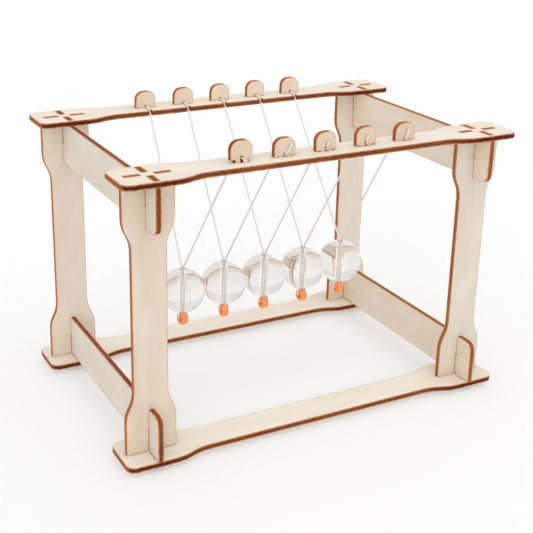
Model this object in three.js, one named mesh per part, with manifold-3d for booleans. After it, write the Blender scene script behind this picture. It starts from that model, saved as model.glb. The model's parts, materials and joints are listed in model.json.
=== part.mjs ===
// Newton's cradle kit of laser-cut plywood: two pairs of rails, four legs and four crossbars that
// slot together, with five clear balls hung on V-shaped strings from pegs in the top rails.
// Units are millimetres. +X runs along the row of balls, +Y to the back, +Z up.
// The origin is on the table, under the middle of the frame.

import * as THREE from 'three';
import { mergeVertices } from 'three/addons/utils/BufferGeometryUtils.js';
import Module from 'manifold-3d';

const wasm = await Module();
wasm.setup();

// ---------------------------------------------------------------- driving dimensions

const PLY = 2; // thickness of every wooden piece
const FIT = 0.1; // clearance on each side of a slot

const LEG_SPACING = 130; // between leg centres, along X
const RAIL_SPACING = 81; // between rail centre lines, along Y
const LEG_HEIGHT = 96.6; // clear height between bottom and top rails
const END_WIDTH = 18.3; // wide ends of rails and legs
const WAIST = 12.4; // narrow middles of rails and legs

const RAIL_LENGTH = 153.1;
const RAIL_CORNER = 3.2;
const RAIL_FLARE_START = 45; // from the rail's middle, where the waist begins to widen
const RAIL_FLARE_END = 60;
const LEG_FLARE_START = 11.5; // from the shoulder, where the end begins to narrow
const LEG_FLARE_END = 23.5;

const CROSSBAR_HEIGHT = 16;
const CROSSBAR_CORNER = 3.2;
const LAP_DEPTH = CROSSBAR_HEIGHT / 2; // leg and crossbar are each cut half-way
const LEG_TENON = { inner: 2.6, outer: 7.8 }; // distances from the leg's centre line
const CROSSBAR_TENON = { inner: 2.1, outer: 8 };

const FOOT_RADIUS = 5;

const BALL_COUNT = 5;
const BALL_RADIUS = 8.55;
const BALL_GAP = 0.25;
const BALL_PITCH = 2 * BALL_RADIUS + BALL_GAP; // a little over the pegs' pitch, so the row spreads
const BALL_HOLE_RADIUS = 1.05;
const BALL_CENTRE_Z = 41.65;

const BEAD_RADIUS = 2.4;
const BEAD_BORE_RADIUS = 0.9;
const BEAD_LENGTH = 2.7;
const BEAD_CHAMFER = 0.8;
const BEAD_CENTRE_Z = 29.95;
const BEAD_YAW = [14, -3, 6, 9, -3]; // degrees that each bead has turned on its string

const PEG_PITCH = 16.1;
const PEG_WIDTH = 8;
const PEG_HEIGHT = 6.4;
const PEG_CORNER = 3.2;
const PEG_TENON_WIDTH = 4.8;
const PEG_SLIT_WIDTH = 0.8;
const PEG_SLIT_TOP = 1; // above the peg's shoulder
const PEG_SLOT_WIDTH = 5.2; // slot in the rail, with room for a peg that stands askew
const PEG_LIFT = { front: [0.9, 0, 0.1, 0.1, 0], back: [0, 0, 0, 0, 0] };
const PEG_TILT = { front: [2, 0, 3, 3, 0], back: [0, 0, 0, 0, 0] }; // degrees

const STRING_RADIUS = 0.37;
const NOTCH_WIDTH = 1.4;
const NOTCH_DEPTH = 2.3;

// Where each string's free tail ends, from the middle of its peg's foot:
// to the right, away from the peg's outer face, and up.
const TAIL_TIPS = {
  front: [[0.6, 2.4, 0.5], [2.9, 0.5, 4.2], [0.9, 0.5, 4.2], [0.3, 0.5, 3.9], [2, 0.5, 5.4]],
  back: [[0.6, 0.5, 2.6], [-0.5, 0.5, 3], [0.8, 0.5, 2.8], [-0.7, 0.5, 2.5], [0.4, 0.5, 3.1]],
};

// ---------------------------------------------------------------- heights and places

const BOTTOM_RAIL_Z = PLY; // undersides, above the feet
const BOTTOM_FACE_Z = 2 * PLY; // top face of the bottom rails
const TOP_RAIL_Z = BOTTOM_FACE_Z + LEG_HEIGHT;
const TOP_FACE_Z = TOP_RAIL_Z + PLY;

const SIDES = [['left', -1], ['right', 1]];
const ROWS = [['front', -1], ['back', 1]];

const NOTCH_FOOT = WAIST / 2 - NOTCH_DEPTH; // from the rail's centre line
// where a string comes out of its notch under the rail, and starts to swing
const PIVOT_Y = RAIL_SPACING / 2 - NOTCH_FOOT - 2.17;
const PIVOT_Z = TOP_RAIL_Z - 0.45;

const ballX = (i) => (i - (BALL_COUNT - 1) / 2) * BALL_PITCH;
const pegX = (i) => (i - (BALL_COUNT - 1) / 2) * PEG_PITCH;

// ---------------------------------------------------------------- materials

const material = (color, roughness, options = {}) =>
  new THREE.MeshStandardMaterial({ color, roughness, metalness: 0, ...options });

const MATERIALS = {
  ply: material(0xe9dccb, 0.75),
  acrylic: material(0xf4f6f6, 0.05, { transparent: true, opacity: 0.4 }),
  bead: material(0xff8f45, 0.35),
  string: material(0xeee8df, 0.9),
};

const model = new THREE.Group();

function addPiece(name, geometry, materialName, place = () => {}) {
  const mesh = new THREE.Mesh(geometry, MATERIALS[materialName]);
  mesh.name = name;
  place(mesh);
  model.add(mesh);
  return mesh;
}

// ---------------------------------------------------------------- plates

const CURVE_SEGMENTS = 7;

/** A flat outline cut from the ply, centred on its own thickness. */
function plate(shape) {
  const geometry = new THREE.ExtrudeGeometry(shape, {
    depth: PLY,
    bevelEnabled: false,
    curveSegments: CURVE_SEGMENTS,
  });
  return geometry.translate(0, 0, -PLY / 2);
}

/** Stands a plate up so that its outline lies in X and Z. */
const faceFront = (geometry) => geometry.rotateX(Math.PI / 2);

/** Stands a plate up so that its outline lies in Y and Z. */
const faceSide = (geometry) => geometry.rotateX(Math.PI / 2).rotateZ(Math.PI / 2);

/** A closed geometry as a manifold solid. */
function solidOf(geometry) {
  const bare = geometry.clone();
  bare.deleteAttribute('normal');
  bare.deleteAttribute('uv');
  const merged = mergeVertices(bare);
  return new wasm.Manifold(new wasm.Mesh({
    numProp: 3,
    vertProperties: new Float32Array(merged.attributes.position.array),
    triVerts: new Uint32Array(merged.index.array),
  }));
}

/** The geometry with each of the cutters taken out of it. */
function cut(geometry, cutters) {
  const left = cutters.reduce((solid, cutter) => solid.subtract(solidOf(cutter)), solidOf(geometry));
  const { vertProperties, triVerts } = left.getMesh();
  const result = new THREE.BufferGeometry();
  result.setAttribute('position', new THREE.BufferAttribute(vertProperties, 3));
  result.setIndex(new THREE.BufferAttribute(triVerts, 1));
  result.computeVertexNormals();
  return result;
}

/** A box that cuts a rectangular slot right through a plate lying flat. */
const slot = (x, y, length, width) => new THREE.BoxGeometry(length, width, 2 * PLY).translate(x, y, 0);

/** The four mortises around one leg: two for the leg's tenons and two for the crossbar's. */
function mortiseCross(centreX) {
  const slots = [];
  const width = PLY + 2 * FIT;
  for (const side of [-1, 1]) {
    const legMiddle = side * (LEG_TENON.inner + LEG_TENON.outer) / 2;
    const legLength = LEG_TENON.outer - LEG_TENON.inner + 2 * FIT;
    slots.push(slot(centreX + legMiddle, 0, legLength, width));
    const barMiddle = side * (CROSSBAR_TENON.inner + CROSSBAR_TENON.outer) / 2;
    const barLength = CROSSBAR_TENON.outer - CROSSBAR_TENON.inner + 2 * FIT;
    slots.push(slot(centreX, barMiddle, width, barLength));
  }
  return slots;
}

/** A rail's outline: wide rounded ends, an S-curve to a narrow waist, and string notches if wanted. */
function railShape(notchXs) {
  const end = RAIL_LENGTH / 2;
  const wide = END_WIDTH / 2;
  const waist = WAIST / 2;
  const turn = (RAIL_FLARE_START + RAIL_FLARE_END) / 2;
  const shape = new THREE.Shape();
  shape.moveTo(-RAIL_FLARE_START, -waist);
  shape.lineTo(RAIL_FLARE_START, -waist);
  shape.bezierCurveTo(turn, -waist, turn, -wide, RAIL_FLARE_END, -wide);
  shape.lineTo(end - RAIL_CORNER, -wide);
  shape.absarc(end - RAIL_CORNER, -wide + RAIL_CORNER, RAIL_CORNER, -Math.PI / 2, 0);
  shape.lineTo(end, wide - RAIL_CORNER);
  shape.absarc(end - RAIL_CORNER, wide - RAIL_CORNER, RAIL_CORNER, 0, Math.PI / 2);
  shape.lineTo(RAIL_FLARE_END, wide);
  shape.bezierCurveTo(turn, wide, turn, waist, RAIL_FLARE_START, waist);
  for (const x of [...notchXs].reverse()) {
    shape.lineTo(x + NOTCH_WIDTH / 2, waist);
    shape.lineTo(x + NOTCH_WIDTH / 2, waist - NOTCH_DEPTH);
    shape.lineTo(x - NOTCH_WIDTH / 2, waist - NOTCH_DEPTH);
    shape.lineTo(x - NOTCH_WIDTH / 2, waist);
  }
  shape.lineTo(-RAIL_FLARE_START, waist);
  shape.bezierCurveTo(-turn, waist, -turn, wide, -RAIL_FLARE_END, wide);
  shape.lineTo(-end + RAIL_CORNER, wide);
  shape.absarc(-end + RAIL_CORNER, wide - RAIL_CORNER, RAIL_CORNER, Math.PI / 2, Math.PI);
  shape.lineTo(-end, -wide + RAIL_CORNER);
  shape.absarc(-end + RAIL_CORNER, -wide + RAIL_CORNER, RAIL_CORNER, Math.PI, 1.5 * Math.PI);
  shape.lineTo(-RAIL_FLARE_END, -wide);
  shape.bezierCurveTo(-turn, -wide, -turn, -waist, -RAIL_FLARE_START, -waist);
  return shape;
}

const railMortises = () => [...mortiseCross(-LEG_SPACING / 2), ...mortiseCross(LEG_SPACING / 2)];

const bottomRail = () => cut(plate(railShape([])), railMortises());

/** A top rail also has a slot for each peg, and a notch opposite it in its inner edge. */
function topRail() {
  const xs = Array.from({ length: BALL_COUNT }, (_, i) => pegX(i));
  const pegSlots = xs.map((x) => slot(x, 0, PEG_SLOT_WIDTH, PLY + 2 * FIT));
  return cut(plate(railShape(xs)), [...railMortises(), ...pegSlots]);
}

function addRails() {
  for (const [row, side] of ROWS) {
    const y = side * RAIL_SPACING / 2;
    addPiece(`bottom_rail_${row}`, bottomRail(), 'ply', (rail) => {
      rail.position.set(0, y, BOTTOM_RAIL_Z + PLY / 2);
    });
    addPiece(`top_rail_${row}`, topRail(), 'ply', (rail) => {
      rail.position.set(0, y, TOP_RAIL_Z + PLY / 2);
      // the notches face inwards, so the back rail is the front one turned round
      rail.rotation.z = side > 0 ? Math.PI : 0;
    });
  }
}

/** A leg's outline about its middle: a tenoned end, a slot for the crossbar, and a waist. */
function legShape() {
  const shoulder = LEG_HEIGHT / 2;
  const tip = shoulder + PLY;
  const wide = END_WIDTH / 2;
  const waist = WAIST / 2;
  const lap = PLY / 2 + FIT;
  const lapEnd = shoulder - LAP_DEPTH - FIT;
  const flareStart = shoulder - LEG_FLARE_START;
  const flareEnd = shoulder - LEG_FLARE_END;
  const turn = (flareStart + flareEnd) / 2;
  const { inner, outer } = LEG_TENON;

  // one end's corners, from +X to -X
  const endCorners = [
    [wide, shoulder], [outer, shoulder], [outer, tip], [inner, tip], [inner, shoulder],
    [lap, shoulder], [lap, lapEnd], [-lap, lapEnd], [-lap, shoulder],
    [-inner, shoulder], [-inner, tip], [-outer, tip], [-outer, shoulder], [-wide, shoulder],
  ];
  const shape = new THREE.Shape();
  shape.moveTo(waist, -flareEnd);
  shape.lineTo(waist, flareEnd);
  shape.bezierCurveTo(waist, turn, wide, turn, wide, flareStart);
  for (const [x, z] of endCorners) shape.lineTo(x, z);
  shape.lineTo(-wide, flareStart);
  shape.bezierCurveTo(-wide, turn, -waist, turn, -waist, flareEnd);
  shape.lineTo(-waist, -flareEnd);
  shape.bezierCurveTo(-waist, -turn, -wide, -turn, -wide, -flareStart);
  for (const [x, z] of endCorners) shape.lineTo(-x, -z);
  shape.lineTo(wide, -flareStart);
  shape.bezierCurveTo(wide, -turn, waist, -turn, waist, -flareEnd);
  return shape;
}

function addLegs() {
  for (const [row, rowSide] of ROWS) {
    for (const [end, endSide] of SIDES) {
      addPiece(`leg_${row}_${end}`, faceFront(plate(legShape())), 'ply', (leg) => {
        const x = endSide * LEG_SPACING / 2;
        leg.position.set(x, rowSide * RAIL_SPACING / 2, BOTTOM_FACE_Z + LEG_HEIGHT / 2);
      });
    }
  }
}

/** A top crossbar's outline in Y and Z, measured from its shoulder: tenons up, leg notches below. */
function crossbarShape() {
  const end = RAIL_SPACING / 2 + END_WIDTH / 2;
  const low = -CROSSBAR_HEIGHT;
  const lap = PLY / 2 + FIT;
  const lapTop = low + LAP_DEPTH + FIT;
  const { inner, outer } = CROSSBAR_TENON;
  const shape = new THREE.Shape();
  shape.moveTo(-end + CROSSBAR_CORNER, low);
  for (const side of [-1, 1]) {
    const leg = side * RAIL_SPACING / 2;
    shape.lineTo(leg - lap, low);
    shape.lineTo(leg - lap, lapTop);
    shape.lineTo(leg + lap, lapTop);
    shape.lineTo(leg + lap, low);
  }
  shape.lineTo(end - CROSSBAR_CORNER, low);
  shape.absarc(end - CROSSBAR_CORNER, low + CROSSBAR_CORNER, CROSSBAR_CORNER, -Math.PI / 2, 0);
  shape.lineTo(end, 0);
  for (const side of [1, -1]) {
    const leg = side * RAIL_SPACING / 2;
    for (const [near, far] of [[outer, inner], [-inner, -outer]]) {
      shape.lineTo(leg + near, 0);
      shape.lineTo(leg + near, PLY);
      shape.lineTo(leg + far, PLY);
      shape.lineTo(leg + far, 0);
    }
  }
  shape.lineTo(-end, 0);
  shape.lineTo(-end, low + CROSSBAR_CORNER);
  shape.absarc(-end + CROSSBAR_CORNER, low + CROSSBAR_CORNER, CROSSBAR_CORNER, Math.PI, 1.5 * Math.PI);
  return shape;
}

function addCrossbars() {
  for (const [end, side] of SIDES) {
    const x = side * LEG_SPACING / 2;
    addPiece(`crossbar_top_${end}`, faceSide(plate(crossbarShape())), 'ply', (bar) => {
      bar.position.set(x, 0, TOP_RAIL_Z);
    });
    addPiece(`crossbar_bottom_${end}`, faceSide(plate(crossbarShape())), 'ply', (bar) => {
      bar.position.set(x, 0, BOTTOM_FACE_Z);
      bar.rotation.x = Math.PI; // the same piece, tenons down
    });
  }
}

/** Round feet, glued under the crossings. */
function addFeet() {
  for (const [row, rowSide] of ROWS) {
    for (const [end, endSide] of SIDES) {
      const disc = new THREE.CylinderGeometry(FOOT_RADIUS, FOOT_RADIUS, PLY, 36);
      addPiece(`foot_${row}_${end}`, disc.rotateX(Math.PI / 2), 'ply', (foot) => {
        foot.position.set(endSide * LEG_SPACING / 2, rowSide * RAIL_SPACING / 2, PLY / 2);
      });
    }
  }
}

// ---------------------------------------------------------------- pegs

/** A peg's outline in X and Z from its shoulder: a tombstone head on a tenon that a slit forks. */
function pegShape() {
  const head = PEG_WIDTH / 2;
  const tenon = PEG_TENON_WIDTH / 2;
  const slit = PEG_SLIT_WIDTH / 2;
  const arcX = head - PEG_CORNER;
  const arcZ = PEG_HEIGHT - PEG_CORNER;
  const shape = new THREE.Shape();
  shape.moveTo(slit, -PLY);
  shape.lineTo(tenon, -PLY);
  shape.lineTo(tenon, 0);
  shape.lineTo(head, 0);
  shape.lineTo(head, arcZ);
  shape.absarc(arcX, arcZ, PEG_CORNER, 0, Math.PI / 2);
  shape.lineTo(-arcX, PEG_HEIGHT);
  shape.absarc(-arcX, arcZ, PEG_CORNER, Math.PI / 2, Math.PI);
  shape.lineTo(-head, 0);
  shape.lineTo(-tenon, 0);
  shape.lineTo(-tenon, -PLY);
  shape.lineTo(-slit, -PLY);
  shape.lineTo(-slit, PEG_SLIT_TOP);
  shape.lineTo(slit, PEG_SLIT_TOP);
  return shape;
}

function addPegs() {
  for (const [row, side] of ROWS) {
    for (let i = 0; i < BALL_COUNT; i += 1) {
      // a peg that stands askew tips on the foot of its left side
      const geometry = faceFront(plate(pegShape())).translate(PEG_WIDTH / 2, 0, 0);
      addPiece(`peg_${row}_${i + 1}`, geometry, 'ply', (peg) => {
        const x = pegX(i) - PEG_WIDTH / 2;
        peg.position.set(x, side * RAIL_SPACING / 2, TOP_FACE_Z + PEG_LIFT[row][i]);
        peg.rotation.y = THREE.MathUtils.degToRad(-PEG_TILT[row][i]);
      });
    }
  }
}

// ---------------------------------------------------------------- balls and beads

const BALL_SIDES = 24;
const BALL_RINGS = 12;
const BEAD_SIDES = 16;

/** A closed ring turned about Z from a profile of [radius, height] points. */
function turned(profile, sides) {
  const points = profile.map(([r, z]) => new THREE.Vector2(r, z));
  points.push(points[0].clone());
  return new THREE.LatheGeometry(points, sides).rotateX(Math.PI / 2);
}

/** A ball with a straight hole from top to bottom. */
function ballGeometry() {
  const holeAngle = Math.asin(BALL_HOLE_RADIUS / BALL_RADIUS);
  const profile = [];
  for (let i = 0; i <= BALL_RINGS; i += 1) {
    const angle = holeAngle + (Math.PI - 2 * holeAngle) * i / BALL_RINGS;
    profile.push([BALL_RADIUS * Math.sin(angle), -BALL_RADIUS * Math.cos(angle)]);
  }
  return turned(profile, BALL_SIDES);
}

/** A squat bead with softened rims, its bore along X. */
function beadGeometry() {
  const end = BEAD_LENGTH / 2;
  const rim = BEAD_CHAMFER;
  const profile = [
    [BEAD_BORE_RADIUS, -end], [BEAD_RADIUS - rim, -end], [BEAD_RADIUS, -end + rim],
    [BEAD_RADIUS, end - rim], [BEAD_RADIUS - rim, end], [BEAD_BORE_RADIUS, end],
  ];
  return turned(profile, BEAD_SIDES).rotateY(Math.PI / 2);
}

function addBallsAndBeads() {
  for (let i = 0; i < BALL_COUNT; i += 1) {
    addPiece(`ball_${i + 1}`, ballGeometry(), 'acrylic', (ball) => {
      ball.position.set(ballX(i), 0, BALL_CENTRE_Z);
    });
    addPiece(`bead_${i + 1}`, beadGeometry(), 'bead', (bead) => {
      bead.position.set(ballX(i), 0, BEAD_CENTRE_Z);
      bead.rotation.z = THREE.MathUtils.degToRad(BEAD_YAW[i]);
    });
  }
}

// ---------------------------------------------------------------- strings

/** A smooth curve with one step for each of its points, so tight turns get as many as they need. */
class Route extends THREE.CatmullRomCurve3 {
  getPointAt(t, target) {
    return this.getPoint(t, target);
  }

  getTangentAt(t, target) {
    return this.getTangent(t, target);
  }
}

const STRING_SIDES = 8;

function stringGeometry(points) {
  const section = new THREE.Shape();
  for (let i = 0; i < STRING_SIDES; i += 1) {
    const angle = 2 * Math.PI * i / STRING_SIDES;
    const x = STRING_RADIUS * Math.cos(angle);
    const y = STRING_RADIUS * Math.sin(angle);
    if (i === 0) section.moveTo(x, y);
    else section.lineTo(x, y);
  }
  const route = new Route(points.map((p) => new THREE.Vector3(...p)));
  const steps = points.length - 1;
  return new THREE.ExtrudeGeometry(section, { steps, bevelEnabled: false, extrudePath: route });
}

/**
 * The hanging part of one string: from the front pivot down through the ball, once through the
 * bead below it, and back up through the ball to the back pivot.
 */
function hangingRoute(i) {
  const x = ballX(i);
  const yaw = THREE.MathUtils.degToRad(BEAD_YAW[i]);
  const quarter = Math.PI / 2;
  // a point beside the ball's axis, turned by angle from straight ahead (-Y) towards +X
  const beside = (distance, angle, z) =>
    [x + distance * Math.sin(angle), -distance * Math.cos(angle), z];
  const toBead = quarter + yaw; // the front strand turns to meet the bead's right end
  const entry = { y: 0.85, z: 51.05 }; // where the front strand bends into the ball's hole
  const along = (t) => [
    pegX(i) + (x - pegX(i)) * t,
    -PIVOT_Y + (PIVOT_Y - entry.y) * t,
    PIVOT_Z + (entry.z - PIVOT_Z) * t,
  ];
  const front = [
    along(0),
    along(1 / 3),
    along(2 / 3),
    along(0.97),
    along(1),
    [x, -0.52, 50.3],
    [x, -0.43, 49.3],
    beside(0.43, toBead / 2, 41),
    beside(0.43, toBead, 36.5),
    beside(0.43, toBead, 34.3),
    beside(0.45, toBead, 33.5),
    beside(0.62, toBead, 32.95),
    beside(1.05, toBead, 32.7),
    beside(1.5, toBead, 32.4),
    beside(1.87, toBead, 31.9),
    beside(2, toBead, 31.35),
    beside(1.9, toBead, 30.8),
    beside(1.6, toBead, 30.44),
    beside(1.1, toBead, 30.32),
  ];
  // the strand comes straight back from the ball's hole, and its loop is turned half round
  const loopStart = front.findIndex(([, , pz]) => pz < entry.z);
  const back = front.map(([px, py, pz], k) => [k < loopStart ? px : 2 * x - px, -py, pz]);
  return [...front, ...back.reverse()];
}

/** The fixed end of one string: its tail, the way through the peg's slit, and over the rail's edge. */
function fixedRoute(i, row, side) {
  const x = pegX(i);
  const railY = RAIL_SPACING / 2;
  const face = PLY / 2; // the peg's outer face, from the rail's centre line
  const lift = PEG_LIFT[row][i];
  const z = TOP_FACE_Z + STRING_RADIUS + 0.12;
  const [tipX, tipOut, tipUp] = TAIL_TIPS[row][i];
  // distances from the rail's centre line count outwards
  const route = [
    [x + tipX, face + tipOut, TOP_FACE_Z + tipUp],
    [x + tipX * 0.5, face + 0.5 + (tipOut - 0.5) * 0.5, TOP_FACE_Z + (tipUp + 1.4) / 2],
    [x + tipX * 0.1, face + 0.5, z + 0.25 + lift],
    [x, face - 0.3, z + lift],
    [x, -face, z + lift / 2],
    [x, -NOTCH_FOOT + 0.5, z],
    [x, -NOTCH_FOOT - 0.15, z - 0.04],
    [x, -NOTCH_FOOT - 0.62, z - 0.6],
    [x, -NOTCH_FOOT - 0.95, z - 1.08],
    [x, PIVOT_Y + 0.34 - railY, PIVOT_Z + 0.5],
  ];
  return route.map(([px, out, pz]) => [px, side * (railY + out), pz]);
}

function addStrings() {
  for (let i = 0; i < BALL_COUNT; i += 1) {
    addPiece(`string_${i + 1}`, stringGeometry(hangingRoute(i)), 'string');
    for (const [row, side] of ROWS) {
      addPiece(`string_end_${row}_${i + 1}`, stringGeometry(fixedRoute(i, row, side)), 'string');
    }
  }
}

// ---------------------------------------------------------------- assembly

addRails();
addLegs();
addCrossbars();
addFeet();
addPegs();
addBallsAndBeads();
addStrings();

export default model;
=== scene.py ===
"""Looks for the Newton's cradle: laser-cut plywood, clear balls, orange beads and cotton string.

Everything is in the CAD frame: +X along the row of balls, +Y to the back, +Z up. Routes and profiles
are worked out in millimetres and built in metres.
"""

import json
import math
import random

import bpy
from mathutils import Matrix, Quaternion, Vector, geometry, noise

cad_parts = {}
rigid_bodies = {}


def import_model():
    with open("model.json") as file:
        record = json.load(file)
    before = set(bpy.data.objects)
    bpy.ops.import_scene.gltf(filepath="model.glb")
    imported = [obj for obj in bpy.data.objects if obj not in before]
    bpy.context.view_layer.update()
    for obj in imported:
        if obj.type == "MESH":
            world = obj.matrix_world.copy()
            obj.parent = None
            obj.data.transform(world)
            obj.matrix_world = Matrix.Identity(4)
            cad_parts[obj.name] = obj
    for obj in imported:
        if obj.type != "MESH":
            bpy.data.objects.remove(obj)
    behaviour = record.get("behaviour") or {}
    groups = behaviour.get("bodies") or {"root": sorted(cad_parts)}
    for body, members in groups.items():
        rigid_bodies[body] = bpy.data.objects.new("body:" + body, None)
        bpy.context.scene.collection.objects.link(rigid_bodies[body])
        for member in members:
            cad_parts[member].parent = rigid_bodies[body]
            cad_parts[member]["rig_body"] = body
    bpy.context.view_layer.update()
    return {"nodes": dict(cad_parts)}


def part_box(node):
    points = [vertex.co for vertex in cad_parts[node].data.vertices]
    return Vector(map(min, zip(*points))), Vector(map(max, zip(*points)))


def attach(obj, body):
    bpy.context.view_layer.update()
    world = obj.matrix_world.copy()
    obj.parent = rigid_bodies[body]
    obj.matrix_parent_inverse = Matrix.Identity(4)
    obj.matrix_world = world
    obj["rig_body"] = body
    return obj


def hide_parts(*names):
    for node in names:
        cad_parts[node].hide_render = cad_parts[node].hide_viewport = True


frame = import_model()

MM = 0.001
X, Y, Z = range(3)
BALL_COUNT = 5

# ---------------------------------------------------------------- camera


def add_camera():
    """The photograph's view, fitted to the corners of the frame."""
    data = bpy.data.cameras.new("camera")
    data.lens = 71.5
    data.sensor_width = 36
    data.shift_x = 0.0616
    data.shift_y = -0.1002
    data.clip_start = 0.01
    data.clip_end = 20
    camera = bpy.data.objects.new("camera", data)
    camera.location = (-0.18510, -0.33337, 0.20091)
    forward = Vector((0.43171, 0.83881, -0.33170))
    roll = Quaternion((0, 0, 1), math.radians(0.806))
    camera.rotation_mode = "QUATERNION"
    camera.rotation_quaternion = forward.to_track_quat("-Z", "Y") @ roll
    bpy.context.scene.collection.objects.link(camera)
    bpy.context.scene.camera = camera


add_camera()

# ---------------------------------------------------------------- node trees


class Tree:
    """A material's node tree, built in short calls that take numbers and sockets alike."""

    def __init__(self, name):
        self.material = bpy.data.materials.new(name)
        self.material.use_nodes = True
        self.nodes = self.material.node_tree.nodes
        self.links = self.material.node_tree.links
        self.nodes.clear()
        self.surface = self.add("ShaderNodeOutputMaterial")
        self.shader = self.add("ShaderNodeBsdfPrincipled")
        self.link(self.shader.outputs["BSDF"], self.surface.inputs["Surface"])

    def add(self, kind, **settings):
        node = self.nodes.new(kind)
        for key, value in settings.items():
            setattr(node, key, value)
        return node

    def link(self, value, socket):
        if isinstance(value, bpy.types.NodeSocket):
            self.links.new(value, socket)
        elif isinstance(value, (tuple, list)) and len(value) == 3 and socket.type == "RGBA":
            socket.default_value = (*value, 1)
        else:
            socket.default_value = value

    def set(self, **values):
        for key, value in values.items():
            self.link(value, self.shader.inputs[key.replace("_", " ")])

    def attribute(self, name):
        return self.add("ShaderNodeAttribute", attribute_name=name).outputs["Vector"]

    def part(self, vector, axis):
        split = self.add("ShaderNodeSeparateXYZ")
        self.link(vector, split.inputs[0])
        return split.outputs[axis]

    def stretched(self, vector, factors):
        node = self.add("ShaderNodeVectorMath", operation="MULTIPLY")
        self.link(vector, node.inputs[0])
        self.link(factors, node.inputs[1])
        return node.outputs[0]

    def noise(self, vector, factors=(1, 1, 1), detail=2.0, roughness=0.5, distortion=0.0):
        node = self.add("ShaderNodeTexNoise")
        self.link(self.stretched(vector, factors), node.inputs["Vector"])
        self.link(1.0, node.inputs["Scale"])
        self.link(detail, node.inputs["Detail"])
        self.link(roughness, node.inputs["Roughness"])
        self.link(distortion, node.inputs["Distortion"])
        return node.outputs["Fac"]

    def math(self, operation, first, second=0.0):
        node = self.add("ShaderNodeMath", operation=operation)
        self.link(first, node.inputs[0])
        self.link(second, node.inputs[1])
        return node.outputs[0]

    def smooth(self, value, low, high, to_low=0.0, to_high=1.0):
        node = self.add("ShaderNodeMapRange", interpolation_type="SMOOTHSTEP")
        for key, number in zip(("Value", "From Min", "From Max", "To Min", "To Max"),
                               (value, low, high, to_low, to_high)):
            self.link(number, node.inputs[key])
        return node.outputs["Result"]

    def mix(self, factor, first, second):
        node = self.add("ShaderNodeMix", data_type="RGBA")
        sockets = [s for s in node.inputs if s.enabled]
        for value, socket in zip((factor, first, second), sockets):
            self.link(value, socket)
        return next(s for s in node.outputs if s.enabled)

    def bump(self, height, distance, strength=1.0):
        node = self.add("ShaderNodeBump")
        self.link(height, node.inputs["Height"])
        self.link(distance, node.inputs["Distance"])
        self.link(strength, node.inputs["Strength"])
        self.link(node.outputs["Normal"], self.shader.inputs["Normal"])


def colour(red, green, blue):
    """An sRGB colour, given as 0 to 255, in linear light."""
    channels = (red / 255, green / 255, blue / 255)
    return tuple(c / 12.92 if c <= 0.04045 else ((c + 0.055) / 1.055) ** 2.4 for c in channels)


# ---------------------------------------------------------------- materials

FACE_INSET = 0.5  # mm in from the cut that the browned fringe may reach
GLUE_LINE = 0.33  # height of the upper glue line, where 1 is the upper face and -1 the lower

# Wood pieces carry three vectors: "grain" is the place in mm along the grain, across it and through
# the sheet; "cut" is the distance in from the cut edge in mm, the height through the sheet from -1
# to 1, and how far the laser has charred the edge from 0 to 1; the third is the veneer's colour on that
# piece, which holds painted light and shade as well as the wood's own tone.


def veneer_material():
    tree = Tree("birch_veneer")
    grain, cut = tree.attribute("grain"), tree.attribute("cut")
    figure = tree.noise(grain, (0.02, 0.16, 0.16), detail=4, roughness=0.55, distortion=0.6)
    cloud = tree.noise(grain, (0.06, 0.12, 0.12), detail=3, roughness=0.6)
    fibre = tree.noise(grain, (0.12, 2.6, 2.6), detail=3, roughness=0.6)
    pores = tree.noise(grain, (0.6, 5.5, 5.5), detail=1)

    # the piece's veneer colour, with painted light and shade in it besides the wood's own tone
    base = tree.mix(tree.smooth(figure, 0.3, 0.75, 0, 0.4), tree.attribute("tone_and_shading"), colour(211, 192, 168))
    base = tree.mix(tree.smooth(cloud, 0.35, 0.75, 0, 0.4), base, colour(238, 229, 216))
    base = tree.mix(tree.smooth(fibre, 0.5, 0.85, 0, 0.22), base, colour(196, 172, 144))
    base = tree.mix(tree.smooth(pores, 0.7, 0.8, 0, 0.2), base, colour(166, 136, 104))

    # the heat of the cut browns the face in a ragged fringe
    ragged = tree.noise(grain, (0.8, 0.8, 0.8), detail=4, roughness=0.7)
    reach = tree.smooth(ragged, 0.3, 0.72, 0.12, FACE_INSET)
    share = tree.math("DIVIDE", tree.part(cut, 0), reach)
    base = tree.mix(tree.smooth(share, 0.25, 1.15, 0.9, 0), base, colour(205, 146, 98))
    base = tree.mix(tree.smooth(share, 0.0, 0.5, 0.85, 0), base, colour(176, 104, 56))
    tree.set(Base_Color=base)
    tree.set(Roughness=tree.smooth(fibre, 0.3, 0.8, 0.62, 0.8))
    tree.shader.inputs["Specular IOR Level"].default_value = 0.3
    height = tree.math("SUBTRACT", tree.math("MULTIPLY", fibre, -0.6), tree.math("MULTIPLY", pores, 0.4))
    tree.bump(height, 0.00005)
    return tree.material


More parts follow.
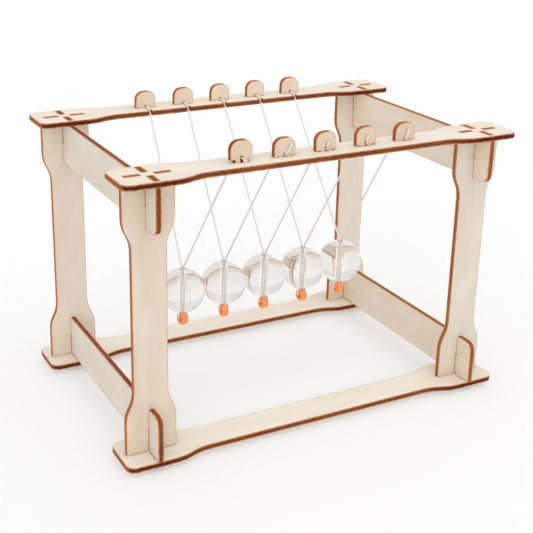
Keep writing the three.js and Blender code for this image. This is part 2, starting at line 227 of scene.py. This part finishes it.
def burnt_edge_material():
    tree = Tree("laser_burnt_edge")
    grain, cut = tree.attribute("grain"), tree.attribute("cut")
    depth = tree.math("ABSOLUTE", tree.part(cut, 1))
    patches = tree.noise(grain, (0.07, 0.07, 0.2), detail=3)
    strokes = tree.noise(grain, (3.2, 3.2, 0.35), detail=2, roughness=0.6)
    layers = tree.noise(grain, (0.12, 0.12, 4.5), detail=2, roughness=0.6)

    uneven = tree.math("MULTIPLY", tree.math("SUBTRACT", patches, 0.5), 0.7)
    char = tree.math("ADD", tree.part(cut, 2), uneven)
    base = tree.mix(tree.smooth(char, -0.1, 0.6), colour(172, 104, 60), colour(122, 62, 36))
    base = tree.mix(tree.smooth(char, 0.5, 1.05), base, colour(84, 22, 11))
    base = tree.mix(tree.smooth(layers, 0.4, 0.75, 0, 0.4), base, colour(76, 28, 15))
    base = tree.mix(tree.smooth(strokes, 0.55, 0.85, 0, 0.5), base, colour(162, 96, 58))
    off_glue = tree.math("ABSOLUTE", tree.math("SUBTRACT", depth, GLUE_LINE))
    base = tree.mix(tree.smooth(off_glue, 0.0, 0.07, 0.4, 0), base, colour(64, 27, 15))
    # towards both faces the char thins to orange-brown
    wander = tree.noise(grain, (0.8, 0.8, 0.8), detail=4, roughness=0.7)
    rim = tree.math("ADD", depth, tree.math("MULTIPLY", tree.math("SUBTRACT", wander, 0.5), 1.3))
    base = tree.mix(tree.smooth(rim, 0.5, 0.85, 0, 0.95), base, colour(203, 138, 84))
    tree.set(Base_Color=base)
    tree.set(Roughness=tree.smooth(strokes, 0.3, 0.8, 0.72, 0.9))
    tree.shader.inputs["Specular IOR Level"].default_value = 0.2
    height = tree.math("ADD", tree.math("MULTIPLY", strokes, 0.7), tree.math("MULTIPLY", layers, 0.5))
    tree.bump(height, 0.00012)
    return tree.material


def let_lamps_through(tree):
    """Shadow rays pass the clear material, so that it doesn't darken what is under it."""
    path = tree.add("ShaderNodeLightPath")
    clear = tree.add("ShaderNodeBsdfTransparent")
    tree.link((1, 1, 1), clear.inputs["Color"])
    blend = tree.add("ShaderNodeMixShader")
    tree.link(path.outputs["Is Shadow Ray"], blend.inputs["Fac"])
    tree.link(tree.shader.outputs["BSDF"], blend.inputs[1])
    tree.link(clear.outputs["BSDF"], blend.inputs[2])
    tree.link(blend.outputs["Shader"], tree.surface.inputs["Surface"])


def acrylic_material():
    tree = Tree("clear_acrylic")
    place = tree.add("ShaderNodeTexCoord").outputs["Object"]
    smudge = tree.noise(place, (180, 180, 180), detail=3)
    ripple = tree.noise(place, (260, 260, 90), detail=1)
    # the greyish base colour dims what is seen through the balls: painted shade, besides a faint warm
    # tint
    tree.set(Base_Color=(0.885, 0.86, 0.835), Transmission_Weight=1.0, IOR=1.49)
    tree.set(Roughness=tree.smooth(smudge, 0.45, 0.8, 0.02, 0.06))
    tree.bump(ripple, 0.00002, 0.15)
    let_lamps_through(tree)
    return tree.material


def drilled_material():
    """The wall of a ball's hole: frosted, with the drill's fine turns."""
    tree = Tree("drilled_acrylic")
    place = tree.add("ShaderNodeTexCoord").outputs["Object"]
    turns = tree.noise(place, (300, 300, 5200), detail=2)
    streak = tree.noise(place, (1500, 1500, 60), detail=2)
    tree.set(Base_Color=(1.0, 0.995, 0.99), Transmission_Weight=1.0, IOR=1.13)
    # painted glow: a faint emission lights the hole's wall, standing in for light scattered in the
    # frosting
    tree.set(Emission_Color=(1, 0.985, 0.965), Emission_Strength=0.07)
    tree.set(Roughness=tree.smooth(streak, 0.35, 0.7, 0.12, 0.3))
    tree.bump(turns, 0.00003, 0.5)
    let_lamps_through(tree)
    return tree.material


def bead_material():
    tree = Tree("orange_bead")
    place = tree.attribute("tube")
    drawn = tree.noise(place, (0.25, 3.0, 3.0), detail=3)
    cloud = tree.noise(place, (0.7, 0.7, 0.7), detail=2)
    base = tree.mix(tree.smooth(cloud, 0.3, 0.7), colour(255, 146, 66), colour(255, 160, 86))
    base = tree.mix(tree.smooth(drawn, 0.5, 0.8, 0, 0.5), base, colour(255, 184, 126))
    tree.set(Base_Color=base, Subsurface_Weight=0.45, Subsurface_Scale=0.0012)
    tree.shader.inputs["Subsurface Radius"].default_value = (1.0, 0.45, 0.15)
    tree.set(Roughness=tree.smooth(drawn, 0.3, 0.8, 0.24, 0.42), IOR=1.45)
    tree.bump(drawn, 0.00004, 0.6)
    return tree.material


def string_material():
    tree = Tree("cotton_string")
    yarn = tree.attribute("yarn")
    fibre = tree.noise(yarn, (1.2, 9.0, 9.0), detail=3, roughness=0.7)
    soiling = tree.noise(yarn, (0.15, 0.5, 0.5), detail=2)
    base = tree.mix(tree.smooth(fibre, 0.3, 0.75), colour(240, 236, 232), colour(216, 210, 205))
    base = tree.mix(tree.smooth(soiling, 0.45, 0.8, 0, 0.35), base, colour(214, 206, 199))
    tree.set(Base_Color=base, Sheen_Weight=0.25, Sheen_Roughness=0.5)
    tree.set(Roughness=tree.smooth(fibre, 0.3, 0.8, 0.8, 0.95))
    tree.shader.inputs["Specular IOR Level"].default_value = 0.15
    tree.bump(fibre, 0.00005, 0.8)
    return tree.material


VENEER, BURNT = veneer_material(), burnt_edge_material()
ACRYLIC, DRILLED = acrylic_material(), drilled_material()
BEAD, STRING = bead_material(), string_material()

# ---------------------------------------------------------------- meshes


def add_mesh(name, points, faces, materials, slots=None, sharp=30, **vectors):
    """A smooth-shaded object from points in metres. vectors are named values, one for each point."""
    mesh = bpy.data.meshes.new(name)
    mesh.from_pydata(points, [], faces)
    for material in materials:
        mesh.materials.append(material)
    if slots:
        mesh.polygons.foreach_set("material_index", slots)
    mesh.polygons.foreach_set("use_smooth", [True] * len(mesh.polygons))
    for key, values in vectors.items():
        layer = mesh.attributes.new(key, "FLOAT_VECTOR", "POINT")
        layer.data.foreach_set("vector", [number for value in values for number in value])
    mesh.set_sharp_from_angle(angle=math.radians(sharp))
    mesh.validate()
    mesh.update()
    piece = bpy.data.objects.new(name, mesh)
    bpy.context.scene.collection.objects.link(piece)
    return piece


def keep(piece, node):
    """The piece stands for a CAD node, and moves with that node's body."""
    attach(piece, frame["nodes"][node]["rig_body"])
    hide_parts(node)


# ---------------------------------------------------------------- laser-cut wood

SHEET = 2.0  # mm thick
BEVEL = 0.06
GROOVE = 0.03
WAVER, WAVER_SCALE = 0.02, 0.9  # unevenness of a cut edge
STRAIGHT_STEP, CURVE_STEP, LONGEST_CURVED_CHORD = 0.9, 0.3, 3.5
NO_TURN, SMALLEST_TURN, LARGEST_TURN = math.radians(0.3), math.radians(1), math.radians(30)
SMALLEST_LEAN = 0.6  # keeps a sharp corner's inward step short

# a cut edge's section as (inset, height from 1 to -1), with a fine groove at each glue line
SECTION = [
    (FACE_INSET, 1), (BEVEL, 1), (0, 0.94), (0, 0.38), (GROOVE, GLUE_LINE), (0, 0.28),
    (0, -0.28), (GROOVE, -GLUE_LINE), (0, -0.38), (0, -0.94), (BEVEL, -1), (FACE_INSET, -1),
]
VENEER_SLOT, BURNT_SLOT = 0, 1
VENEER_SIZE = 400

# the veneer's colour on each kind of piece, matched to how bright that piece looks where it stands:
# besides the wood's own tone it holds painted light and shade, such as the greyer left crossbars and the
# brighter bottom rails
TONES_AND_SHADING = {
    "top": colour(231, 221, 208), "bottom": colour(237, 228, 215),
    "leg_front_left": colour(223, 206, 186), "leg_front_right": colour(221, 212, 197),
    "leg_back_left": colour(228, 213, 196), "leg_back_right": colour(230, 219, 204),
    "crossbar_left": colour(218, 210, 196), "crossbar_right": colour(228, 212, 192),
    "foot": colour(225, 208, 186),
    "peg_front": colour(225, 202, 177), "peg_back": colour(232, 212, 189),
}

# how dark the laser has left each piece's edges, from 0 (light brown) to 1 (black-brown)
RAIL_CHAR, RAIL_CORNER_CHAR, RAIL_END_CHAR = 0.45, 0.95, 0.2
RAIL_CORNER_STARTS, RAIL_CORNER_FULL, RAIL_END_STARTS = 44, 60, 76  # mm from the rail's middle
# the feet's edges are dark partly from the laser and partly as painted shade, for the shadow under the
# rails
LEG_CHAR, PEG_CHAR, FOOT_CHAR_AND_SHADE = 0.1, 0.2, 0.6
CROSSBAR_CHAR = {"left": 0.42, "right": 0.2}
FIRST_PEG_CHAR = 0.45


def outline_loops(node, axis):
    """A flat CAD piece's outline and holes, as lists of 2-D points in mm with the wood on the left."""
    mesh = frame["nodes"][node].data
    first, second = (axis + 1) % 3, (axis + 2) % 3
    # whole micrometres, so that the corners that two faces share are equal
    spots = [(round(v.co[first] * 1e6), round(v.co[second] * 1e6)) for v in mesh.vertices]
    edges = set()
    for face in mesh.polygons:
        if face.normal[axis] < 0.99:
            continue
        corners = [spots[i] for i in face.vertices]
        for start, end in zip(corners, corners[1:] + corners[:1]):
            if (end, start) in edges:
                edges.remove((end, start))
            elif start != end:
                edges.add((start, end))
    following = dict(sorted(edges))
    loops = []
    while following:
        start = min(following)
        loop, spot = [], start
        while spot in following:
            loop.append(Vector((spot[0] / 1000, spot[1] / 1000)))
            spot = following.pop(spot)
        loops.append(without_straight_points(loop))
    return loops


def turn_at(loop, i):
    """The angle that the outline turns by at a point, to the left if above 0."""
    before = loop[i] - loop[i - 1]
    after = loop[(i + 1) % len(loop)] - loop[i]
    return math.atan2(before.x * after.y - before.y * after.x, before.dot(after))


def without_straight_points(loop):
    return [p for i, p in enumerate(loop) if abs(turn_at(loop, i)) > NO_TURN]


def refined(loop):
    """The loop with close steps, and its gently turning stretches rounded between their points."""
    count = len(loop)
    turns = [abs(turn_at(loop, i)) for i in range(count)]
    curved = [SMALLEST_TURN < t < LARGEST_TURN for t in turns]
    directions = []
    for i in range(count):
        before = (loop[i] - loop[i - 1]).normalized()
        after = (loop[(i + 1) % count] - loop[i]).normalized()
        directions.append((before + after).normalized())
    result = []
    for i in range(count):
        start, end = loop[i], loop[(i + 1) % count]
        chord = end - start
        bends = curved[i] and curved[(i + 1) % count] and chord.length < LONGEST_CURVED_CHORD
        steps = max(1, math.ceil(chord.length / (CURVE_STEP if bends else STRAIGHT_STEP)))
        for k in range(steps):
            t = k / steps
            if not bends:
                result.append(start + chord * t)
                continue
            out = directions[i] * chord.length
            into = directions[(i + 1) % count] * chord.length
            # a cubic Hermite curve
            a, b = 2 * t**3 - 3 * t**2 + 1, t**3 - 2 * t**2 + t
            c, d = -2 * t**3 + 3 * t**2, t**3 - t**2
            result.append(start * a + out * b + end * c + into * d)
    return result


def inward(loop):
    """For each point, the step into the wood that moves the edge in by 1 mm."""
    steps = []
    for i, point in enumerate(loop):
        before = (point - loop[i - 1]).normalized()
        after = (loop[(i + 1) % len(loop)] - point).normalized()
        middle = (before + after).normalized()
        lean = max(SMALLEST_LEAN, middle.dot(before))
        steps.append(Vector((-middle.y, middle.x)) / lean)
    return steps


def eased(value, low, high):
    """0 at low, 1 at high, and smooth between."""
    t = min(1, max(0, (value - low) / (high - low)))
    return t * t * (3 - 2 * t)


def rail_char(spot):
    """A rail's edges are darkest where its outline widens, and lightest at its very ends."""
    out = abs(spot[X])
    if out > RAIL_END_STARTS:
        return RAIL_END_CHAR
    corner = eased(out, RAIL_CORNER_STARTS, RAIL_CORNER_FULL)
    return RAIL_CHAR + (RAIL_CORNER_CHAR - RAIL_CHAR) * corner


def face_triangles(points, loops, axis, side):
    """Triangles over a flat face with holes, turned to the given side of the sheet."""
    numbers = [i for loop in loops for i in loop]
    flat = [[Vector(points[i]) for i in loop] for loop in loops]
    triangles = []
    for triangle in geometry.tessellate_polygon(flat):
        corners = [numbers[i] for i in triangle]
        a, b, c = (Vector(points[i]) for i in corners)
        if (b - a).cross(c - a)[axis] * side < 0:
            corners.reverse()
        triangles.append(corners)
    return triangles


def edge_faces(base, count):
    """The faces between one loop's rings of count points, numbered from base, and their slots."""
    faces, slots = [], []
    last = len(SECTION) - 2
    for ring in range(last + 1):
        for i in range(count):
            a, b = base + ring * count + i, base + ring * count + (i + 1) % count
            faces.append((a, a + count, b + count, b))
            slots.append(VENEER_SLOT if ring in (0, last) else BURNT_SLOT)
    return faces, slots


def add_wood(node, axis, grain_axis, tone_and_shading, char, seed):
    """A sheet piece, flat across axis. char is a number, or a function of a place on it in mm."""
    low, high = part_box(node)
    middle = (low[axis] + high[axis]) / 2 / MM
    across_axis = 3 - axis - grain_axis
    # each piece has its own place in the veneer
    chance = random.Random(seed)
    shift = [chance.uniform(0, VENEER_SIZE) for _ in range(3)]
    points, faces, slots, grain, cut = [], [], [], [], []
    rims = {1: [], -1: []}
    for loop in outline_loops(node, axis):
        loop = refined(loop)
        steps = inward(loop)
        count, base = len(loop), len(points)
        for inset, height in SECTION:
            for spot, step in zip(loop, steps):
                where = Vector((spot.x * WAVER_SCALE, spot.y * WAVER_SCALE, height * 2 + seed))
                waver = noise.noise(where)
                place = spot + step * (inset + WAVER * (1 + waver) * (inset < FACE_INSET))
                co = [0, 0, 0]
                co[axis] = middle + height * SHEET / 2
                co[(axis + 1) % 3], co[(axis + 2) % 3] = place
                points.append([c * MM for c in co])
                along, across, through = co[grain_axis], co[across_axis], co[axis]
                grain.append((along + shift[0], across + shift[1], through + shift[2]))
                cut.append((inset, height, char(co) if callable(char) else char))
        loop_faces, loop_slots = edge_faces(base, count)
        faces += loop_faces
        slots += loop_slots
        rims[1].append(range(base, base + count))
        rims[-1].append(range(base + (len(SECTION) - 1) * count, base + len(SECTION) * count))
    for side, loops in rims.items():
        triangles = face_triangles(points, loops, axis, side)
        faces += triangles
        slots += [VENEER_SLOT] * len(triangles)
    vectors = {"grain": grain, "cut": cut, "tone_and_shading": [tone_and_shading] * len(points)}
    keep(add_mesh(f"wood_{node}", points, faces, [VENEER, BURNT], slots, **vectors), node)


def add_all_wood():
    for seed, node in enumerate(sorted(frame["nodes"]), 1):
        kind, *rest = node.split("_")
        if kind in ("bottom", "top"):
            add_wood(node, Z, X, TONES_AND_SHADING[kind], rail_char, seed)
        elif kind == "leg":
            add_wood(node, Y, Z, TONES_AND_SHADING[node], LEG_CHAR, seed)
        elif kind == "crossbar":
            end = rest[-1]
            add_wood(node, X, Y, TONES_AND_SHADING[f"crossbar_{end}"], CROSSBAR_CHAR[end], seed)
        elif kind == "foot":
            add_wood(node, Z, X, TONES_AND_SHADING["foot"], FOOT_CHAR_AND_SHADE, seed)
        elif kind == "peg":
            char = FIRST_PEG_CHAR if node == "peg_front_1" else PEG_CHAR
            add_wood(node, Y, Z, TONES_AND_SHADING[f"peg_{rest[0]}"], char, seed)


# ---------------------------------------------------------------- turned pieces


def turned(profile, sides):
    """Points and faces of a closed ring turned about Z from (radius, height) pairs in mm."""
    points, faces = [], []
    count = len(profile)
    for k in range(sides):
        angle = 2 * math.pi * k / sides
        for radius, height in profile:
            points.append((radius * math.cos(angle), radius * math.sin(angle), height))
    for k in range(sides):
        here, there = k * count, (k + 1) % sides * count
        for i in range(count):
            j = (i + 1) % count
            faces.append((here + i, there + i, there + j, here + j))
    return points, faces


BALL_SIDES, BALL_RINGS, HOLE_STEPS = 128, 96, 24
BALL_HOLE_RADIUS = 1.05
HOLE_LIP = 0.04  # a chamfer, in mm
ACRYLIC_SLOT, DRILLED_SLOT = 0, 1


def ball_profile(radius):
    """A ball's outside from the bottom up, and the wall of its hole from the top down."""
    lip = math.asin((BALL_HOLE_RADIUS + HOLE_LIP) / radius)
    outside = []
    for i in range(BALL_RINGS + 1):
        angle = lip + (math.pi - 2 * lip) * i / BALL_RINGS
        outside.append((radius * math.sin(angle), -radius * math.cos(angle)))
    end = radius * math.cos(lip) - HOLE_LIP
    wall = [(BALL_HOLE_RADIUS, end - 2 * end * i / HOLE_STEPS) for i in range(HOLE_STEPS + 1)]
    return outside, wall


def add_ball(number):
    node = f"ball_{number}"
    low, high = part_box(node)
    centre = (low + high) / 2
    radius = (high.x - low.x) / 2 / MM
    outside, wall = ball_profile(radius)
    points, faces = turned(outside + wall, BALL_SIDES)
    # the hole's two chamfers are drilled too
    slots = [ACRYLIC_SLOT] * (len(outside) - 1) + [DRILLED_SLOT] * (len(wall) + 1)
    slots *= BALL_SIDES
    metres = [tuple(centre + Vector(p) * MM) for p in points]
    piece = add_mesh(f"clear_{node}", metres, faces, [ACRYLIC, DRILLED], slots, sharp=40)
    keep(piece, node)


BEAD_RADIUS, BEAD_BORE, BEAD_LENGTH = 2.4, 0.9, 2.7
BEAD_ROUNDING = 0.8
BEAD_YAW = [14, -3, 6, 9, -3]  # degrees that each bore is turned from the row of balls
BEAD_SIDES, BEAD_CORNER_STEPS = 64, 8
BEAD_APART = 11  # mm between two beads' places in the noise, so that they differ


def bead_profile():
    """Half of the section from the bore's middle to the barrel's middle, then its mirror image."""
    end = BEAD_LENGTH / 2
    half = [(BEAD_BORE, z) for z in (0, end * 0.5, end - 0.3)]
    # the bore's rim is eased
    half += [(BEAD_BORE + 0.06, end - 0.1), (BEAD_BORE + 0.2, end - 0.01)]
    corner = BEAD_RADIUS - BEAD_ROUNDING
    for i in range(BEAD_CORNER_STEPS + 1):
        angle = math.pi / 2 * i / BEAD_CORNER_STEPS
        height = end - BEAD_ROUNDING * (1 - math.cos(angle))
        half.append((corner + BEAD_ROUNDING * math.sin(angle), height))
    half.append((BEAD_RADIUS, 0))
    mirror = [(radius, -z) for radius, z in reversed(half[1:-1])]
    return half + mirror


def add_bead(number):
    node = f"bead_{number}"
    low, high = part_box(node)
    centre = (low + high) / 2
    yaw = Quaternion((0, 0, 1), math.radians(BEAD_YAW[number - 1]))
    turn = yaw @ Quaternion((0, 1, 0), math.pi / 2)
    points, faces = turned(bead_profile(), BEAD_SIDES)
    metres = [tuple(centre + (turn @ Vector(p)) * MM) for p in points]
    tube = [(p[2] + BEAD_APART * number, p[0], p[1]) for p in points]
    piece = add_mesh(f"orange_{node}", metres, faces, [BEAD], sharp=50, tube=tube)
    keep(piece, node)


# ---------------------------------------------------------------- strings

BALL_PITCH, PEG_PITCH = 17.35, 16.1
PIVOT_Y, PIVOT_Z = 34.43, 100.15
ENTRY_Y, ENTRY_Z = 0.85, 51.05  # where a strand meets the mouth of its ball's hole
STRING_RADIUS = 0.37
RAIL_Y, RAIL_TOP_Z = 40.5, 102.6
NOTCH_FOOT = 3.9  # from the rail's centre line
CLEARANCE = 0.12  # between a string and the rail it lies on

# how far each string climbs in its peg's slit
PEG_LIFT = {"front": [0.9, 0, 0.1, 0.1, 0], "back": [0, 0, 0, 0, 0]}

# each tail's tip as (along the rail, out from the peg's face, above the rail)
TAIL_TIPS = {
    "front": [(0.6, 2.4, 0.5), (2.9, 0.5, 4.2), (0.9, 0.5, 4.2), (0.3, 0.5, 3.9), (2, 0.5, 5.4)],
    "back": [(0.6, 0.5, 2.6), (-0.5, 0.5, 3), (0.8, 0.5, 2.8), (-0.7, 0.5, 2.5), (0.4, 0.5, 3.1)],
}

STRANDS = 3
STRING_SIDES = 12
STRING_STEP = 0.14
TWIST_PITCH = 1.7  # mm of string for one turn of its strands
FINER, SMALLEST_SPLIT = 3, 4  # a curve is worked out in finer steps than it is built in
CAP_RINGS = 3
STRAND_VALLEY = 0.76  # how far out the string reaches between two strands


def row_x(number, pitch):
    """The place along X of one of five things that are spread evenly about the middle."""
    return (number - (BALL_COUNT + 1) / 2) * pitch


def hanging_route(number):
    """Front pivot, down through the ball, once through the bead, and back up to the back pivot."""
    x, peg_x = row_x(number, BALL_PITCH), row_x(number, PEG_PITCH)
    to_bead = math.pi / 2 + math.radians(BEAD_YAW[number - 1])

    def along(t):
        y = -PIVOT_Y + (PIVOT_Y - ENTRY_Y) * t
        return (peg_x + (x - peg_x) * t, y, PIVOT_Z + (ENTRY_Z - PIVOT_Z) * t)

    def beside(distance, angle, z):
        return (x + distance * math.sin(angle), -distance * math.cos(angle), z)

    strand = [along(t) for t in (0, 1 / 3, 2 / 3, 0.97, 1)]
    loop = [(x, -0.52, 50.3), (x, -0.43, 49.3), beside(0.43, to_bead / 2, 41)]
    # out of the ball, round the bead's end and into its bore
    loop += [
        beside(distance, to_bead, z)
        for distance, z in (
            (0.43, 36.5), (0.43, 34.3), (0.45, 33.5), (0.62, 32.95), (1.05, 32.7), (1.5, 32.4),
            (1.87, 31.9), (2, 31.35), (1.9, 30.8), (1.6, 30.44), (1.1, 30.32),
        )
    ]
    back = [(2 * x - px, -py, pz) for px, py, pz in reversed(loop)]
    return strand + loop + back + [(px, -py, pz) for px, py, pz in reversed(strand)]


def fixed_route(number, row, side):
    """A string's tail on its peg, the way through the peg's slit, and through the notch to the pivot."""
    x = row_x(number, PEG_PITCH)
    face = SHEET / 2
    lift = PEG_LIFT[row][number - 1]
    z = RAIL_TOP_Z + STRING_RADIUS + CLEARANCE
    tip_x, tip_out, tip_up = TAIL_TIPS[row][number - 1]
    route = [
        (x + tip_x, face + tip_out, RAIL_TOP_Z + tip_up),
        (x + tip_x * 0.5, face + 0.5 + (tip_out - 0.5) * 0.5, RAIL_TOP_Z + (tip_up + 1.4) / 2),
        (x + tip_x * 0.1 - 0.25, face + 0.5, z + 0.25 + lift * 0.8),
        (x, face - 0.3, z + lift),
        (x, -face, z + lift / 2),
        (x, -NOTCH_FOOT + 0.5, z),
        (x, -NOTCH_FOOT - 0.15, z - 0.04),
        (x, -NOTCH_FOOT - 0.62, z - 0.6),
        (x, -NOTCH_FOOT - 0.95, z - 1.08),
        (x, PIVOT_Y - RAIL_Y, PIVOT_Z),
    ]
    return [(px, side * (RAIL_Y + out), pz) for px, out, pz in route]


def smooth_line(route, step):
    """Points a step apart on a centripetal Catmull-Rom curve through the route."""
    knots = [Vector(p) for p in route]
    knots = [2 * knots[0] - knots[1], *knots, 2 * knots[-1] - knots[-2]]
    fine = []
    for p0, p1, p2, p3 in zip(knots, knots[1:], knots[2:], knots[3:]):
        t1 = (p1 - p0).length ** 0.5
        t2 = t1 + (p2 - p1).length ** 0.5
        t3 = t2 + (p3 - p2).length ** 0.5
        pieces = max(SMALLEST_SPLIT, math.ceil((p2 - p1).length / (step / FINER)))
        for k in range(pieces):
            t = t1 + (t2 - t1) * k / pieces
            a1 = p0 * ((t1 - t) / t1) + p1 * (t / t1)
            a2 = p1 * ((t2 - t) / (t2 - t1)) + p2 * ((t - t1) / (t2 - t1))
            a3 = p2 * ((t3 - t) / (t3 - t2)) + p3 * ((t - t2) / (t3 - t2))
            b1 = a1 * ((t2 - t) / t2) + a2 * (t / t2)
            b2 = a2 * ((t3 - t) / (t3 - t1)) + a3 * ((t - t1) / (t3 - t1))
            fine.append(b1 * ((t2 - t) / (t2 - t1)) + b2 * ((t - t1) / (t2 - t1)))
    fine.append(knots[-2])
    line, travelled = [fine[0]], 0.0
    for before, after in zip(fine, fine[1:]):
        travelled += (after - before).length
        if travelled >= step:
            line.append(after)
            travelled = 0.0
    line[-1] = fine[-1]
    return line


def strand_radius(angle):
    """The outline of the twisted strands, as a share of the whole string's radius."""
    sector = 2 * math.pi / STRANDS
    off = (angle + sector / 2) % sector - sector / 2
    return STRAND_VALLEY + (1 - STRAND_VALLEY) * math.cos(off * math.pi / sector) ** 0.8


def yarn_rings(route, size_at):
    """A yarn's (centre, ahead, across, side, distance run, size) at each step of its route."""
    line = smooth_line(route, STRING_STEP)
    across = Vector((1, 0, 0))
    travelled = 0.0
    last = len(line) - 1
    rings = []
    for i, centre in enumerate(line):
        ahead = (line[min(i + 1, last)] - line[max(i - 1, 0)]).normalized()
        across = (across - ahead * across.dot(ahead)).normalized()
        side = ahead.cross(across)
        if i:
            travelled += (centre - line[i - 1]).length
        rings.append((centre, ahead, across, side, travelled, size_at(i / last)))
    return rings


def end_rings(ring, sign):
    """The narrowing rings that round a yarn off beyond its last ring, or if sign is -1, its first."""
    centre, ahead, across, side, run, size = ring
    caps = []
    for k in range(1, CAP_RINGS + 1):
        angle = math.pi / 2 * k / (CAP_RINGS + 0.4)
        reach = sign * STRING_RADIUS * size * math.sin(angle)
        width = size * math.cos(angle)
        caps.append((centre + ahead * reach, ahead, across, side, run + reach, width))
    return caps


def yarn_tube(route, size_at):
    """Points, faces and fibre places of one yarn. size_at gives its width at a share of the way."""
    points, faces, yarn = [], [], []
    rings = yarn_rings(route, size_at)
    rings = end_rings(rings[0], -1)[::-1] + rings + end_rings(rings[-1], 1)
    for centre, _, across, side, run, size in rings:
        twist = 2 * math.pi * run / TWIST_PITCH
        for k in range(STRING_SIDES):
            angle = 2 * math.pi * k / STRING_SIDES
            radius = STRING_RADIUS * size * strand_radius(angle - twist)
            offset = across * math.cos(angle) + side * math.sin(angle)
            points.append(tuple((centre + offset * radius) * MM))
            # the fibres wind with the strands
            yarn.append((run, math.cos(angle - twist), math.sin(angle - twist)))
    for i in range(len(rings) - 1):
        for k in range(STRING_SIDES):
            here, there = i * STRING_SIDES, (i + 1) * STRING_SIDES
            following = (k + 1) % STRING_SIDES
            faces.append((here + k, here + following, there + following, there + k))
    faces.append(tuple(range(STRING_SIDES))[::-1])
    faces.append(tuple(range(len(points) - STRING_SIDES, len(points))))
    return points, faces, yarn


def add_string(node, yarns):
    """yarns are the (route, size_at) of the string and of the loose fibres at its end."""
    points, faces, yarn = [], [], []
    for route, size_at in yarns:
        more_points, more_faces, more_yarn = yarn_tube(route, size_at)
        faces += [tuple(i + len(points) for i in face) for face in more_faces]
        points += more_points
        yarn += more_yarn
    piece = add_mesh(f"yarn_{node}", points, faces, [STRING], sharp=80, yarn=yarn)
    keep(piece, node)


FRAY_COUNT = 7
FRAY_SPREAD = math.radians(15)
FRAY_STRAY = 0.04  # radians
FRAY_BEND = 0.8  # how much of its lean a fibre has halfway
FRAY_WIDTH, FRAY_TAPER = 0.4, 0.3  # of the whole string's width, and how much of that is lost
TAIL_TIP_WIDTH = 0.3
TIP, MOUTH = 0, 2  # which points of a tail's route are its tip and the mouth of its slit


def fibre_width(share):
    return FRAY_WIDTH * (1 - FRAY_TAPER * share)


def frayed_tail(route, side, seed):
    """Loose fibres that fan out from the mouth of a peg's slit towards the tail's tip."""
    chance = random.Random(seed)
    tip, mouth = Vector(route[TIP]), Vector(route[MOUTH])
    fibres = []
    for k in range(FRAY_COUNT):
        lean = FRAY_SPREAD * (2 * k / (FRAY_COUNT - 1) - 1)
        lean += chance.uniform(-FRAY_STRAY, FRAY_STRAY)
        reach = (tip - mouth) * chance.uniform(0.8, 1.02)
        end = Quaternion((0, 1, 0), lean) @ reach + mouth
        middle = Quaternion((0, 1, 0), lean * FRAY_BEND) @ reach * 0.5 + mouth
        middle.z += 0.1 * chance.uniform(-1, 1)
        end.y += side * chance.uniform(-0.15, 0.1)
        fibres.append(([tuple(mouth), tuple(middle), tuple(end)], fibre_width))
    return fibres


def tapered_tail(share):
    """The tail's own width, less the fibres that leave it near its tip, where share is 0."""
    return eased(share, 0.05, 0.35) * (1 - TAIL_TIP_WIDTH) + TAIL_TIP_WIDTH


def full_width(_share):
    return 1.0


def add_strings():
    for number in range(1, BALL_COUNT + 1):
        add_string(f"string_{number}", [(hanging_route(number), full_width)])
        for row, side in (("front", -1), ("back", 1)):
            route = fixed_route(number, row, side)
            yarns = [(route, tapered_tail)] + frayed_tail(route, side, number * side)
            add_string(f"string_end_{row}_{number}", yarns)


# ---------------------------------------------------------------- stage

FLOOR_HALF = 9.0  # m
WINDOW_Y = 1.7
WINDOW_OUTLINE = [(-1.0, 0.02), (-0.3, 0.32), (0.0, 1.0), (-1.0, 2.3), (-2.3, 1.2)]


def add_floor():
    """A pale lit table: its own glow keeps the shadows on it light."""
    half = FLOOR_HALF
    corners = [(-half, -half, 0), (half, -half, 0), (half, half, 0), (-half, half, 0)]
    tree = Tree("studio_floor")
    tree.set(Base_Color=(0.607, 0.606, 0.603), Roughness=0.9)
    tree.set(Emission_Color=(1, 1, 0.995), Emission_Strength=0.3)
    tree.shader.inputs["Specular IOR Level"].default_value = 0.0
    add_mesh("studio_floor", corners, [(0, 1, 2, 3)], [tree.material])


def add_window():
    """A pale blue sky light behind the table, which only the clear balls show."""
    corners = [(x, WINDOW_Y, z) for x, z in WINDOW_OUTLINE]
    tree = Tree("sky_window")
    tree.set(Base_Color=(0, 0, 0), Emission_Color=(0.62, 0.77, 0.85), Emission_Strength=0.95)
    tree.shader.inputs["Specular IOR Level"].default_value = 0.0
    add_mesh("sky_window", corners, [tuple(range(len(corners)))], [tree.material])


def add_sun(name, towards, strength, spread, tint=(1, 1, 1)):
    """A distant lamp, spread degrees wide. towards points from the object to the lamp."""
    data = bpy.data.lights.new(name, "SUN")
    data.energy = strength
    data.angle = math.radians(spread)
    data.color = tint
    lamp = bpy.data.objects.new(name, data)
    lamp.rotation_mode = "QUATERNION"
    lamp.rotation_quaternion = Vector(towards).to_track_quat("Z", "Y")
    bpy.context.scene.collection.objects.link(lamp)


def add_light():
    world = bpy.data.worlds.new("studio")
    world.use_nodes = True
    background = world.node_tree.nodes["Background"]
    background.inputs["Color"].default_value = (1.0, 0.998, 0.995, 1)
    background.inputs["Strength"].default_value = 0.87
    bpy.context.scene.world = world
    add_sun("top_light", (0.15, -0.1, 1), 0.68, 70)
    add_sun("side_light", (-0.75, -0.75, 0.55), 0.5, 50, tint=(0.97, 0.985, 1))
    bpy.context.scene.view_settings.view_transform = "Standard"


# ---------------------------------------------------------------- assembly

add_strings()
add_all_wood()
for ball_number in range(1, BALL_COUNT + 1):
    add_ball(ball_number)
    add_bead(ball_number)
add_floor()
add_window()
add_light()
